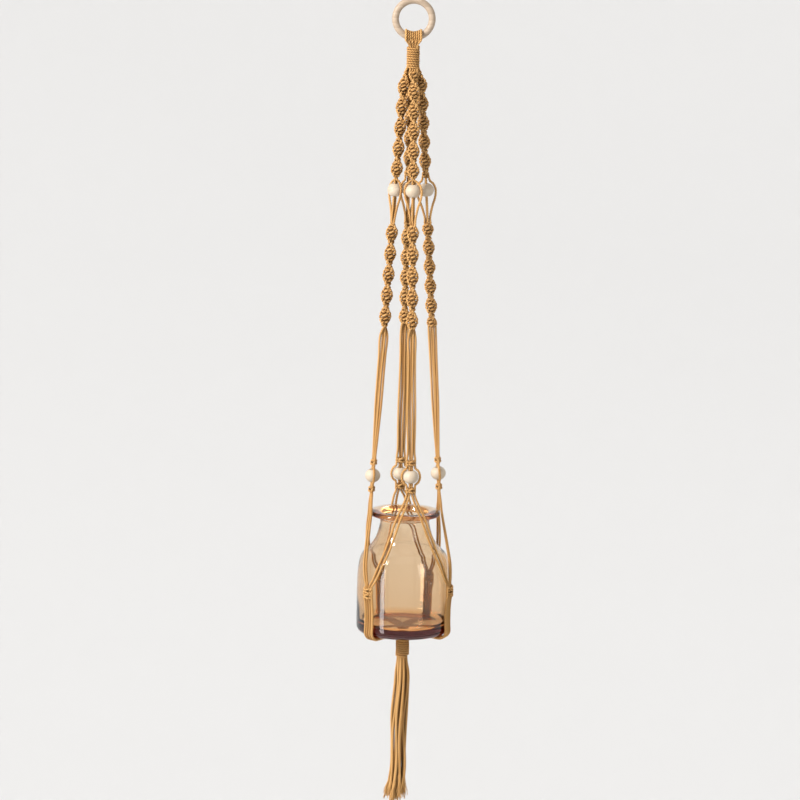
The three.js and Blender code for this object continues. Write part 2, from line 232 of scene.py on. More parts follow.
def make_stage():
    """A pale floor that curves up all round into a low wall, so no view shows its edge."""
    floor_z, wall_top, floor_radius, cove = -2.4, 2.6, 3.0, 1.6
    profile = [(0.0, floor_z), (floor_radius, floor_z)]
    for angle in np.radians(np.arange(10, 91, 10)):
        profile.append(
            (floor_radius + cove * math.sin(angle), floor_z + cove * (1 - math.cos(angle)))
        )
    profile.append((floor_radius + cove, wall_top))
    sweep = turned("studio_floor", profile, 96, closed=False)
    sweep.data.materials.append(stage_material())


def add_soft_box(name, place, aim, width, height, power, colour):
    data = bpy.data.lights.new(name, "AREA")
    data.shape = "RECTANGLE"
    data.size = width
    data.size_y = height
    data.energy = power
    data.color = colour
    light = bpy.data.objects.new(name, data)
    bpy.context.scene.collection.objects.link(light)
    light.location = place
    light.rotation_euler = (Vector(aim) - Vector(place)).to_track_quat("-Z", "Y").to_euler()
    light.visible_camera = False
    return light


def make_lights():
    middle = (0, 0, -0.45)
    add_soft_box("key", (-2.3, -1.7, 1.1), middle, 0.7, 1.2, 175, (1.0, 0.98, 0.95))
    add_soft_box("fill", (2.4, -2.2, 0.2), middle, 1.2, 1.8, 16, (0.96, 0.98, 1.0))
    add_soft_box("strip", (-2.2, -1.7, -0.95), (0, 0, -0.66), 0.50, 1.5, 18, (1.0, 1.0, 1.0))
    add_soft_box("rim", (0.8, 2.6, 1.6), middle, 1.4, 1.4, 30, (1.0, 0.99, 0.97))
    world = bpy.data.worlds.new("studio")
    world.use_nodes = True
    background = world.node_tree.nodes["Background"]
    background.inputs["Color"].default_value = (1.0, 0.985, 0.965, 1)
    background.inputs["Strength"].default_value = 0.84
    bpy.context.scene.world = world
    bpy.context.scene.view_settings.view_transform = "Standard"


# Materials
class Nodes:
    """A material's node tree, with short ways to add and join its nodes."""

    def __init__(self, name):
        self.material = bpy.data.materials.new(name)
        self.material.use_nodes = True
        self.tree = self.material.node_tree
        self.shader = self.tree.nodes["Principled BSDF"]
        self.output = self.tree.nodes["Material Output"]

    def add(self, kind, **settings):
        node = self.tree.nodes.new(kind)
        for key, value in settings.items():
            setattr(node, key, value)
        return node

    def link(self, source, target):
        if isinstance(target, bpy.types.NodeSocket) and not isinstance(source, bpy.types.NodeSocket):
            target.default_value = source
        else:
            self.tree.links.new(source, target)

    def maths(self, operation, first, second=0.0, third=0.0):
        node = self.add("ShaderNodeMath", operation=operation)
        for socket, value in zip(node.inputs, (first, second, third)):
            self.link(value, socket)
        return node.outputs[0]

    def noise(self, vector, scale, detail=2.0, roughness=0.5):
        node = self.add("ShaderNodeTexNoise")
        self.link(vector, node.inputs["Vector"])
        node.inputs["Scale"].default_value = scale
        node.inputs["Detail"].default_value = detail
        node.inputs["Roughness"].default_value = roughness
        return node.outputs["Fac"]

    def ramp(self, value, stops):
        node = self.add("ShaderNodeValToRGB")
        self.link(value, node.inputs["Fac"])
        elements = node.color_ramp.elements
        while len(elements) < len(stops):
            elements.new(0.5)
        for element, (place, colour) in zip(elements, stops):
            element.position = place
            element.color = (*colour, 1)
        return node.outputs["Color"]

    def spread(self, value, low, high):
        """value from 0 to 1, spread from low to high."""
        node = self.add("ShaderNodeMapRange")
        self.link(value, node.inputs["Value"])
        node.inputs["To Min"].default_value = low
        node.inputs["To Max"].default_value = high
        return node.outputs["Result"]

    def mix(self, share, first, second, blend="MIX"):
        node = self.add("ShaderNodeMix", data_type="RGBA", blend_type=blend)
        sockets = [s for s in node.inputs if s.type == "RGBA"]
        self.link(share, node.inputs["Factor"])
        for socket, value in zip(sockets, (first, second)):
            self.link(value if isinstance(value, bpy.types.NodeSocket) else (*value, 1), socket)
        return [s for s in node.outputs if s.type == "RGBA"][0]

    def bump(self, height, distance, strength=1.0, below=None):
        node = self.add("ShaderNodeBump")
        self.link(height, node.inputs["Height"])
        node.inputs["Distance"].default_value = distance
        node.inputs["Strength"].default_value = strength
        if below is not None:
            self.link(below, node.inputs["Normal"])
        return node.outputs["Normal"]

    def set(self, **values):
        for name, value in values.items():
            self.link(value, self.shader.inputs[name.replace("_", " ")])


def object_place(nodes):
    return nodes.add("ShaderNodeTexCoord").outputs["Object"]


def cord_material():
    """Plied, combed cotton, dyed mustard: streaks of fibre along each ply, and painted shade in the
    valleys between plies and under crossing cords.
    """
    nodes = Nodes("mustard_cotton")
    strand = nodes.add("ShaderNodeAttribute", attribute_name="strand").outputs["Vector"]
    ridge = nodes.add("ShaderNodeAttribute", attribute_name="ridge").outputs["Fac"]
    tint = nodes.add("ShaderNodeAttribute", attribute_name="tint").outputs["Fac"]
    place = object_place(nodes)

    fibres = nodes.noise(strand, 1.0, 4.0, 0.65)
    blotches = nodes.noise(place, 70.0, 2.0)
    fuzz = nodes.noise(place, 2600.0, 2.0)

    streaked = nodes.ramp(
        fibres,
        (
            (0.30, (0.380, 0.168, 0.040)),
            (0.50, (0.680, 0.368, 0.122)),
            (0.68, (0.900, 0.620, 0.310)),
        ),
    )
    # Painted shade: the colour darkens toward deep brown in ply valleys and where another cord
    # covers this one.
    lit = nodes.maths("POWER", ridge, 1.5)
    shaded = nodes.mix(nodes.spread(lit, 0.95, 0.0), streaked, (0.110, 0.036, 0.006))
    varied = nodes.mix(nodes.spread(tint, 0.0, 0.36), shaded, (0.720, 0.450, 0.190))
    sunned = nodes.mix(nodes.spread(blotches, 0.0, 0.22), varied, (0.400, 0.190, 0.050))

    height = nodes.maths("MULTIPLY_ADD", fibres, 0.75, nodes.maths("MULTIPLY", fuzz, 0.35))
    nodes.set(
        Base_Color=sunned,
        Roughness=nodes.spread(fibres, 0.95, 0.78),
        Normal=nodes.bump(height, 0.00045, 0.9),
    )
    nodes.shader.inputs["Specular IOR Level"].default_value = 0.10
    nodes.shader.inputs["Sheen Weight"].default_value = 0.06
    nodes.shader.inputs["Sheen Roughness"].default_value = 0.45
    nodes.shader.inputs["Sheen Tint"].default_value = (1.0, 0.86, 0.62, 1)
    return nodes.material


def wood_material(name, pale, dark, stretch):
    """Turned pale wood: long grain, a few darker growth rings, pores and a satin rubbed surface."""
    nodes = Nodes(name)
    mapping = nodes.add("ShaderNodeMapping")
    nodes.link(object_place(nodes), mapping.inputs["Vector"])
    mapping.inputs["Scale"].default_value = stretch
    grain_place = mapping.outputs["Vector"]

    warp = nodes.noise(grain_place, 1.0, 2.0)
    rings = nodes.add("ShaderNodeTexWave", wave_type="RINGS", wave_profile="SAW")
    nodes.link(grain_place, rings.inputs["Vector"])
    rings.inputs["Scale"].default_value = 0.45
    rings.inputs["Distortion"].default_value = 5.0
    rings.inputs["Detail"].default_value = 2.0
    fine = nodes.noise(grain_place, 9.0, 3.0, 0.6)

    growth = nodes.mix(nodes.spread(rings.outputs["Fac"], 0.0, 0.55), pale, dark)
    streaked = nodes.mix(nodes.spread(fine, 0.0, 0.40), growth, dark)
    mottled = nodes.mix(nodes.spread(warp, 0.0, 0.35), streaked, pale)
    nodes.set(
        Base_Color=mottled,
        Roughness=nodes.spread(fine, 0.42, 0.62),
        Normal=nodes.bump(fine, 0.00022, 0.5),
    )
    nodes.shader.inputs["Specular IOR Level"].default_value = 0.4
    return nodes.material


def glass_material():
    """Clear amber glass, with the faint ripple of a moulded jar."""
    nodes = Nodes("amber_glass")
    ripple = nodes.noise(object_place(nodes), 42.0, 1.0)
    nodes.set(Normal=nodes.bump(ripple, 0.0009, 0.25))
    nodes.shader.inputs["Base Color"].default_value = (1.0, 0.99, 0.97, 1)
    nodes.shader.inputs["Transmission Weight"].default_value = 1.0
    nodes.shader.inputs["Roughness"].default_value = 0.015
    nodes.shader.inputs["IOR"].default_value = 1.5
    depth = nodes.add("ShaderNodeVolumeAbsorption")
    depth.inputs["Color"].default_value = (0.83, 0.54, 0.12, 1)
    depth.inputs["Density"].default_value = 142.0
    nodes.link(depth.outputs["Volume"], nodes.output.inputs["Volume"])
    return nodes.material


def stage_material():
    nodes = Nodes("pale_studio")
    nodes.shader.inputs["Base Color"].default_value = (0.722, 0.723, 0.726, 1)
    nodes.shader.inputs["Roughness"].default_value = 0.95
    nodes.shader.inputs["Specular IOR Level"].default_value = 0.1
    return nodes.material


# Turned shapes
def new_object(name, vertices, faces):
    mesh = bpy.data.meshes.new(name)
    mesh.from_pydata([tuple(v) for v in vertices], [], faces)
    mesh.polygons.foreach_set("use_smooth", [True] * len(mesh.polygons))
    mesh.update()
    made = bpy.data.objects.new(name, mesh)
    bpy.context.scene.collection.objects.link(made)
    return made


def turned(name, profile, segments, closed=True, matrix=None):
    """A shape turned about Z from (radius, height) points, listed so that its faces point out.

    A closed profile joins its last point to its first. Points on the axis become one vertex each."""
    vertices, rows = [], []
    for radius, z in profile:
        if radius < 1e-9:
            rows.append([len(vertices)] * segments)
            vertices.append((0.0, 0.0, z))
            continue
        rows.append(range(len(vertices), len(vertices) + segments))
        for i in range(segments):
            angle = 2 * math.pi * i / segments
            vertices.append((radius * math.cos(angle), radius * math.sin(angle), z))
    faces = []
    pairs = list(zip(rows, rows[1:]))
    if closed:
        pairs.append((rows[-1], rows[0]))
    for low, high in pairs:
        for i in range(segments):
            j = (i + 1) % segments
            corners = list(dict.fromkeys((low[i], low[j], high[j], high[i])))
            if len(corners) > 2:
                faces.append(corners)
    made = new_object(name, vertices, faces)
    if matrix is not None:
        made.data.transform(matrix)
    return made


def arc(centre, radius, start, end, count):
    """Points (radius, height) round an arc, its angles in degrees from outward, up positive."""
    angles = np.radians(np.linspace(start, end, count))
    return [(centre[0] + radius * math.cos(a), centre[1] + radius * math.sin(a)) for a in angles]


# Strands
def smooth_way(points, step):
    """Points about every step along the centripetal Catmull-Rom curve through the given points.

    Returns them with the place of each given point along the curve."""
    given = np.array(points, float)
    first = 2 * given[0] - given[1]
    last = 2 * given[-1] - given[-2]
    p = np.vstack((first, given, last))
    gaps = np.sqrt(np.linalg.norm(np.diff(p, axis=0), axis=1)) + 1e-9
    t0 = np.zeros(len(gaps) - 2)
    t1 = gaps[:-2]
    t2 = t1 + gaps[1:-1]
    t3 = t2 + gaps[2:]
    per_span = 14
    share = np.linspace(0, 1, per_span, endpoint=False)[:, None, None]
    t = (t1 + share[..., 0] * (t2 - t1))[..., None]
    a0, a1, a2, a3 = (x[None, :, None] for x in (t0, t1, t2, t3))
    p0, p1, p2, p3 = p[:-3], p[1:-2], p[2:-1], p[3:]
    low = (a1 - t) / (a1 - a0) * p0 + (t - a0) / (a1 - a0) * p1
    mid = (a2 - t) / (a2 - a1) * p1 + (t - a1) / (a2 - a1) * p2
    high = (a3 - t) / (a3 - a2) * p2 + (t - a2) / (a3 - a2) * p3
    left = (a2 - t) / (a2 - a0) * low + (t - a0) / (a2 - a0) * mid
    right = (a3 - t) / (a3 - a1) * mid + (t - a1) / (a3 - a1) * high
    dense = (a2 - t) / (a2 - a1) * left + (t - a1) / (a2 - a1) * right
    dense = np.vstack((dense.transpose(1, 0, 2).reshape(-1, 3), given[-1:]))
    along = np.concatenate(([0], np.cumsum(np.linalg.norm(np.diff(dense, axis=0), axis=1))))
    count = max(4, round(along[-1] / step) + 1)
    even = np.linspace(0, along[-1], count)
    way = np.stack([np.interp(even, along, dense[:, k]) for k in range(3)], axis=1)
    return way, even, along[::per_span]


def side_directions(way):
    """For each point of a way, its direction and two directions square to it that never spin."""
    forward = np.gradient(way, axis=0)
    forward /= np.linalg.norm(forward, axis=1)[:, None]
    across = np.empty_like(way)
    guess = np.array((0.3, 0.9, 0.1))
    for i, ahead in enumerate(forward):
        guess = guess - ahead * (guess @ ahead)
        guess = guess / math.sqrt(guess @ guess)
        across[i] = guess
    return forward, across, np.cross(forward, across)


class Pieces:
    """The tubes gathered so far for each piece of the hanger."""

    def __init__(self):
        self.tubes = {}
        self.ways = []
        self.nearby = None

    def settle(self):
        """Notes where all the cords laid so far run, to find what they bury for painted shade."""
        centres = np.vstack(self.ways).tolist()
        self.nearby = KDTree(len(centres))
        for i, centre in enumerate(centres):
            self.nearby.insert(centre, i)
        self.nearby.balance()

    def openness(self, rings):
        """How open each point of a tube is, from 0 where another cord covers it; the colour is
        painted in shade there.
        """
        centres = rings.mean(axis=1, keepdims=True)
        outward = PROBE_REACH * (rings - centres)
        own = np.linalg.norm(outward, axis=2)
        probes = (centres + outward).reshape(-1, 3).tolist()
        nearest = np.array([self.nearby.find(probe)[2] for probe in probes]).reshape(own.shape)
        return np.clip((nearest / own - COVERED_AT) / OPEN_AFTER, 0, 1)

    def lay(self, points, names, radii, tint, counted=True):
        """Lays one strand. names says which piece each point, and the stretch after it, is in."""
        way, along, marks = smooth_way(points, RING_STEP)
        if counted:
            self.ways.append(way)
        _, across, square = side_directions(way)
        thickness = np.interp(along, marks, radii)
        corners = PLIES * PLY_SIDES
        ply_angle = 2 * math.pi * np.arange(corners) / corners
        from_lobe = (ply_angle + math.pi / PLIES) % (2 * math.pi / PLIES) - math.pi / PLIES
        own = 1 - PLY_BULGE
        outline = PLY_BULGE * np.cos(from_lobe) + np.sqrt(
            own**2 - (PLY_BULGE * np.sin(from_lobe)) ** 2
        )
        turn = ply_angle[None, :] + (2 * math.pi * along / PLY_PITCH)[:, None]
        reach = thickness[:, None] * outline[None, :]
        rings = (
            way[:, None, :]
            + (reach * np.cos(turn))[..., None] * across[:, None, :]
            + (reach * np.sin(turn))[..., None] * square[:, None, :]
        )
        strand = np.empty(rings.shape)
        strand[..., 0] = FIBRES_AROUND * np.cos(ply_angle)[None, :]
        strand[..., 1] = FIBRES_AROUND * np.sin(ply_angle)[None, :]
        strand[..., 2] = (FIBRES_ALONG * along)[:, None] + FIBRES_APART * tint
        # Painted light and shade: 1 on a ply's crest, lit, and 0 in the valley between plies,
        # shaded.
        ridge = np.broadcast_to(
            (outline - outline.min()) / (outline.max() - outline.min()), rings.shape[:2]
        )
        cuts = [0]
        cuts += [i for i in range(1, len(names)) if names[i] != names[i - 1]]
        for start, end in zip(cuts, cuts[1:] + [len(names) - 1]):
            low = np.searchsorted(along, marks[start] - 1e-9)
            high = min(np.searchsorted(along, marks[end] - 1e-9) + 1, len(way))
            if high - low > 1:
                chunk = (rings[low:high], strand[low:high], ridge[low:high], tint, counted)
                self.tubes.setdefault(names[start], []).append(chunk)

    def build(self, name, material):
        vertices, faces, strands, ridges, tints = [], [], [], [], []
        count = 0
        for rings, strand, ridge, tint, counted in self.tubes.pop(name):
            # Painted shade: a point that another cord covers is darkened, as though in that cord's
            # shadow.
            if counted:
                ridge = ridge * self.openness(rings)
            length, corners = rings.shape[:2]
            index = count + np.arange(length * corners).reshape(length, corners)
            following = np.roll(index, -1, axis=1)
            walls = np.stack((index[:-1], following[:-1], following[1:], index[1:]), axis=-1)
            faces += walls.reshape(-1, 4).tolist()
            faces.append(index[0][::-1].tolist())
            faces.append(index[-1].tolist())
            vertices.append(rings.reshape(-1, 3))
            strands.append(strand.reshape(-1, 3))
            ridges.append(ridge.reshape(-1))
            tints.append(np.full(length * corners, tint))
            count += length * corners
        made = new_object(name, np.vstack(vertices), faces)
        mesh = made.data
        for key, kind, values in (
            ("strand", "FLOAT_VECTOR", np.vstack(strands)),
            ("ridge", "FLOAT", np.concatenate(ridges)),
            ("tint", "FLOAT", np.concatenate(tints)),
        ):
            attribute = mesh.attributes.new(key, kind, "POINT")
            field = "vector" if kind == "FLOAT_VECTOR" else "value"
            attribute.data.foreach_set(field, values.astype(np.float32).ravel())
        mesh.materials.append(material)
        return made


class Strand:
    """One cord's way: its points, the piece that each is in, and its radius there."""

    def __init__(self):
        self.points = []
        self.names = []
        self.radii = []

    def go(self, piece, points, radius=CORD_RADIUS):
        for point in points:
            self.points.append(np.array(point, float))
            self.names.append(piece)
            self.radii.append(radius)


# Half knots
class KnotSize:
    """Where the cords of a half knot pass, from the middle of the knot, and the knots' pitch."""

    def __init__(self, outer, inner, cross, swap, lift, pitch):
        self.outer = outer  # a cord that runs down the side
        self.inner = inner  # a cord that has passed between its mate and the fillers
        self.cross = cross  # how far in front of or behind the middle a crossing lies
        self.swap = swap  # how far apart the cords pass at the side
        self.lift = lift  # how far a crossing rises as it goes over
        self.pitch = pitch

    def at_pitch(self, pitch):
        return KnotSize(self.outer, self.inner, self.cross, self.swap, self.lift, pitch)

    def way(self):
        """The left cord's way when it crosses in front: across, behind and up from the middle."""
        side = (self.outer + self.inner) / 2
        return (
            (-self.outer, 0.0, self.lift),
            (-side, self.swap, 0.0),
            (-self.inner, -self.cross * 0.15, -self.lift),
            (-self.inner * 0.55, -self.cross * 0.9, -self.lift * 0.7),
            (0.0, -self.cross, 0.0),
            (self.inner * 0.55, -self.cross * 0.9, self.lift * 0.7),
            (self.inner, -self.cross * 0.15, self.lift),
            (side, self.swap, 0.0),
            (self.outer, 0.0, -self.lift),
        )


SPIRAL_KNOT = KnotSize(0.0058, 0.0029, 0.0027, 0.0014, 0.0009, 0.0040)
SMALL_KNOT = KnotSize(0.0049, 0.0027, 0.0029, 0.0013, 0.0008, 0.0034)
JOINING_SIZE = KnotSize(0.0061, 0.0036, 0.0029, 0.0014, 0.0008, 0.0031)


def tie(side, hands, top, size):
    """The way of the working cord that starts on a side (-1 left, 1 right) through half knots.

    Each hand says which cord crosses in front: 1 the left one, -1 the right one."""
    points = []
    for i, hand in enumerate(hands):
        middle = top - (i + 0.5) * size.pitch
        in_front = side == -hand
        for across, behind, up in size.way():
            points.append((-side * across, behind if in_front else -behind, middle + up))
        side = -side
    return points


# Arms
class Arm:
    """An arm's line through its two beads, and the way from its own directions to the row's."""

    def __init__(self, name):
        self.name = name
        self.upper = box_middle(f"{name}_upper_bead")
        self.lower = box_middle(f"{name}_lower_bead")
        self.azimuth = math.atan2(self.lower[1], self.lower[0])
        top, bottom = (math.hypot(p[0], p[1]) for p in (self.upper, self.lower))
        self.slope = (bottom - top) / (self.upper[2] - self.lower[2])
        self.upper_radius = top

    def radius(self, z):
        """How far the arm's line is from the axis at a height."""
        gathered = PULL_IN_DEPTH * math.exp((z - ARM_TOP_Z) / PULL_IN_FADE)
        return self.upper_radius + (self.upper[2] - z) * self.slope - gathered

    def point(self, across, behind, z, turn=0.0):
        """A point beside the arm's line, its directions turned about +Z from the row's X and Y."""
        c, s = math.cos(turn), math.sin(turn)
        beside = np.array((across * c - behind * s, across * s + behind * c, 0))
        return polar(self.radius(z), self.azimuth, z) + beside

    def up(self):
        return Vector((self.upper - self.lower).tolist()).normalized()


def spiral_turn(z, balls):
    """How far a sinnet has turned at a height, from its first widest place."""
    first, pitch = balls
    return math.pi * (first - z) / pitch


def fullness(z, top, bottom):
    """How far a sinnet has swelled to its full width near its ends."""
    from_end = min(top - z, z - bottom)
    return END_FULLNESS + (1 - END_FULLNESS) * min(1.0, max(0.0, from_end) / SWELL_LENGTH)


def sinnet_way(arm, side, node, balls):
    """Points of a working cord (side -1 or 1) through a spiral sinnet."""
    low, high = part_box(node)
    top, bottom = high.z, low.z
    count = 2 * round((top - bottom) / balls[1] * KNOTS_PER_BALL / 2)
    size = SPIRAL_KNOT.at_pitch((top - bottom) / count)
    points = []
    for across, behind, z in tie(side, [1] * count, top, size):
        share = fullness(z, top, bottom)
        turn = spiral_turn(z, balls)
        points.append(arm.point(across * share, behind, z, turn))
    return points


def filler_way(arm, side, node, balls):
    """Points of a filler strand, straight down the middle of a sinnet."""
    low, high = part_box(node)
    return [
        arm.point(side * FILLER_OFFSET, 0, z, spiral_turn(z, balls))
        for z in np.arange(high.z - 0.002, low.z + 0.001, -FILLER_STEP)
    ]


def kept_side(side, turn, next_turn):
    """The side (-1 or 1) that a cord is nearer to when its knot's own directions turn."""
    return side if math.cos(next_turn - turn) >= 0 else -side


def small_knot_way(arm, side, centre_z, working):
    """Through a small square knot that lies flat to the jar."""
    turn = arm.azimuth + math.pi / 2
    top = centre_z + SMALL_KNOT.pitch
    if not working:
        place = side * FILLER_OFFSET
        return [arm.point(place, 0, z, turn) for z in (top, centre_z, top - 2 * SMALL_KNOT.pitch)]
    return [arm.point(a, b, z, turn) for a, b, z in tie(side, (1, -1), top, SMALL_KNOT)]


def upper_strand(arm, side, working):
    """One strand from inside the top wrap to the foot of the middle sinnet, and where it ends."""
    upper, middle = f"{arm.name}_upper_sinnet", f"{arm.name}_middle_sinnet"
    upper_balls, middle_balls = UPPER_BALLS[arm.name], MIDDLE_BALLS[arm.name]
    facing = math.radians(UPPER_FACING[arm.name])
    make = sinnet_way if working else filler_way
    strand = Strand()

    turn = spiral_turn(ARM_TOP_Z, upper_balls)
    spread = side * (WORKER_START if working else FILLER_START)
    beside = np.array((math.cos(turn), math.sin(turn), 0)) * spread
    start = polar(INSIDE_WRAP_RADIUS, arm.azimuth, INSIDE_WRAP_Z)
    strand.go(upper, [start + beside], KNOTTED_RADIUS)
    strand.go(upper, make(arm, side, upper, upper_balls), KNOTTED_RADIUS)

    bead_z = arm.upper[2]
    if working:
        side = kept_side(side, spiral_turn(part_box(upper)[0].z, upper_balls), facing)
        by_bead = [arm.point(side * out, 0, bead_z + up, facing) for out, up in UPPER_BEAD_SIDE]
    else:
        behind = -side * THROUGH_OFFSET
        by_bead = [arm.point(0, behind, bead_z + up, facing) for up in UPPER_BEAD_THROUGH]
    strand.go(f"{arm.name}_upper_bead_cords", by_bead)

    side = kept_side(side, facing, spiral_turn(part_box(middle)[1].z, middle_balls))
    way = make(arm, side, middle, middle_balls)
    strand.go(middle, way, KNOTTED_RADIUS)
    return strand, way[-1]


def flat_turn(arm):
    """The way from lying across the row to lying flat to the jar, at most a quarter turn."""
    quarter = shorter_turn(0, arm.azimuth + math.pi / 2)
    if abs(quarter) > math.pi / 2:
        quarter -= math.copysign(math.pi, quarter)
    return quarter


def straight_way(arm, order):
    """Points of a strand's straight run, where the four turn from the row to flat to the jar."""
    flat = arm.azimuth + math.pi / 2
    quarter = flat_turn(arm)
    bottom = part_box(f"{arm.name}_middle_sinnet")[0].z
    knot_top = arm.lower[2] + KNOT_OFFSET + SMALL_KNOT.pitch
    stagger = STRAIGHT_STAGGER * (1 if order % 2 else -1)
    run = []
    for share in STRAIGHT_SHARES:
        z = bottom + share * (knot_top - bottom)
        turn = flat - quarter + share * quarter
        sway = STRAIGHT_SWAY * math.sin(7 * share + order) * math.sin(math.pi * share)
        run.append(arm.point(STRAIGHT_RANKS[order] + sway, stagger, z, turn))
    return run


def lower_part(strand, arm, order, working):
    """Carries a strand on from the middle sinnet to below the split knot."""
    flat = arm.azimuth + math.pi / 2
    side = -1 if order < 2 else 1
    bead_z = arm.lower[2]
    strand.go(f"{arm.name}_straight_cords", straight_way(arm, order))
    stop = small_knot_way(arm, side, bead_z + KNOT_OFFSET, working)
    strand.go(f"{arm.name}_stop_knot", stop, KNOTTED_RADIUS)
    if working:
        by_bead = [arm.point(side * out, 0, bead_z + up, flat) for out, up in LOWER_BEAD_SIDE]
    else:
        across = side * THROUGH_OFFSET
        by_bead = [arm.point(across, 0, bead_z + up, flat) for up in LOWER_BEAD_THROUGH]
    strand.go(f"{arm.name}_lower_bead_cords", by_bead)
    split = small_knot_way(arm, side, bead_z - KNOT_OFFSET, working)
    strand.go(f"{arm.name}_split_knot", split, KNOTTED_RADIUS)


def arm_strands(arm):
    """The arm's four strands, from the top wrap to below the split knot, in order across it."""
    workers = sorted((upper_strand(arm, side, True) for side in (-1, 1)), key=lambda m: m[1][0])
    fillers = sorted((upper_strand(arm, side, False) for side in (-1, 1)), key=lambda m: m[1][0])
    ordered = [workers[0], fillers[0], fillers[1], workers[1]]
    if math.cos(arm.azimuth + math.pi / 2 - flat_turn(arm)) < 0:
        ordered.reverse()
    strands = [strand for strand, _ in ordered]
    for order, strand in enumerate(strands):
        lower_part(strand, arm, order, working=order in (0, 3))
    return strands


# Pairs, joining knots, bands and the gather under the jar
JOINING_PLACE = box_middle("front_left_joining_knot")  # all four stand at its radius and height
JOINING_RADIUS = float(np.linalg.norm(JOINING_PLACE[:2]))
JOINING_TOP = float(JOINING_PLACE[2]) + 2 * JOINING_SIZE.pitch


def pair_way(arm, corner_azimuth, order):
    """A strand from the arm's split knot to the corner's joining knot."""
    side = -1 if order < 2 else 1
    top_z = arm.lower[2] - KNOT_OFFSET - SMALL_KNOT.pitch - 0.001
    top_radius = arm.radius(top_z)
    start = arm.azimuth + side * PAIR_SPREAD / top_radius
    end = corner_azimuth - side * PAIR_SPREAD / JOINING_RADIUS
    into_knot = (JOINING_RADIUS - 0.0008, JOINING_TOP + 0.0016, 1.0)
    stations = [(top_radius, top_z, 0.0), *PAIR_ROUTE, into_knot]
    turn = shorter_turn(start, end)
    middle = [polar(r, start + share * turn, z) for r, z, share in stations]
    rank = 0.5 if order % 2 == 0 else -0.5
    points = []
    for i, (_, _, share) in enumerate(stations):
        along = middle[min(i + 1, len(middle) - 1)] - middle[max(i - 1, 0)]
        across = np.cross(along, polar(1, start + share * turn, 0))
        across /= np.linalg.norm(across)
        loose = 1 + PAIR_LOOSENESS * math.sin(math.pi * share)
        points.append(middle[i] + across * rank * STRAND_PITCH * loose)
    return points


def corner_point(azimuth, across, out, z):
    """A point at a corner: across to the left round the jar, and out from the axis."""
    side = np.array((-math.sin(azimuth), math.cos(azimuth), 0))
    return polar(out, azimuth, z) + across * side


def band_route():
    """Radius and height of a cradle band's middle, down the jar's side and in under its base."""
    low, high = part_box("glass_jar")
    body = high.y
    clear = BAND_RADIUS + BAND_CLEARANCE
    centre = (body - HEEL_RADIUS, low.z + HEEL_RADIUS)
    proud = (0.0012, 0.0002, 0.0, 0.0)  # where the band leaves the joining knot
    route = [(body + clear + out, z) for out, z in zip(proud, BAND_HEIGHTS)]
    route += arc(centre, HEEL_BEND, -15, -75, 4)
    route += [(body - 0.016, low.z - clear), (body - 0.028, low.z - clear)]
    return route + [(0.018, low.z - clear - 0.0002), (0.0115, low.z - clear - 0.0008)]


def corner_strands(strand, arm, corner, corner_azimuth, order, place):
    """Carries a strand on from its arm, through the joining knot to inside the base wrap."""
    pair = f"{arm.name}_to_{corner}_pair"
    strand.go(pair, pair_way(arm, corner_azimuth, order))
    side = -1 if place < 2 else 1
    working = place in (0, 3)
    if working:
        knots = tie(side, (1, -1, 1, -1), JOINING_TOP, JOINING_SIZE)
        middle = JOINING_RADIUS
        way = [corner_point(corner_azimuth, a, middle - b, z) for a, b, z in knots]
    else:
        foot = JOINING_TOP - 4 * JOINING_SIZE.pitch
        heights = np.linspace(JOINING_TOP - 0.001, foot + 0.001, 4)
        across = side * THROUGH_OFFSET
        way = [corner_point(corner_azimuth, across, JOINING_RADIUS, z) for z in heights]
    strand.go(f"{corner}_joining_knot", way, KNOTTED_RADIUS)

    across = (place - 1.5) * BAND_PITCH
    band = [corner_point(corner_azimuth, across, r, z) for r, z in band_route()]
    strand.go(f"{corner}_cradle_band", band, BAND_RADIUS)
    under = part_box("glass_jar")[0].z
    azimuth = corner_azimuth + (place - 1.5) * GATHER_SQUEEZE
    inside = GATHER_RADII[0 if working else 1]
    route = [*GATHER_ROUTE, *((inside, drop) for drop in GATHER_DROPS)]
    strand.go("base_gather", [polar(r, azimuth, under - drop) for r, drop in route])


# Ring fold and wraps
def fold_strand(index):
    """One of the eight cords over the ring: up the front, over the bar, down the back."""
    ring_low, ring_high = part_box("wooden_ring")
    tube = (ring_high.y - ring_low.y) / 2
    mid = (ring_high.x - ring_low.x) / 2 - tube
    x = (index - (FOLD_CORDS - 1) / 2) * FOLD_PITCH
    bar_z = ring_low.z + tube
    # The bar curves up away from its lowest place, and the ring tips about that place.
    rise = mid - math.sqrt(mid**2 - (abs(x) + CORD_RADIUS) ** 2)
    reach = tube + rise + FOLD_CLEARANCE + CORD_RADIUS
    wrap_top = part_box("top_wrap")[1].z
    deep = FOLD_DEPTHS[index % 2]
    strand = Strand()
    legs = [(0.50, wrap_top - 0.006, deep), (0.54, wrap_top + 0.0004, deep + 0.0004)]
    legs.append((0.80, wrap_top + 0.0042, deep * 0.4 + 0.0046))
    front = [(x * share, -y, z) for share, z, y in legs]
    back = [(x * share, y, z) for share, z, y in legs]
    over = []
    for angle in np.radians(np.linspace(200, -20, 9)):
        over.append((x, reach * math.cos(angle), bar_z + reach * math.sin(angle)))
    strand.go("ring_fold", front + over + back[::-1])
    return strand


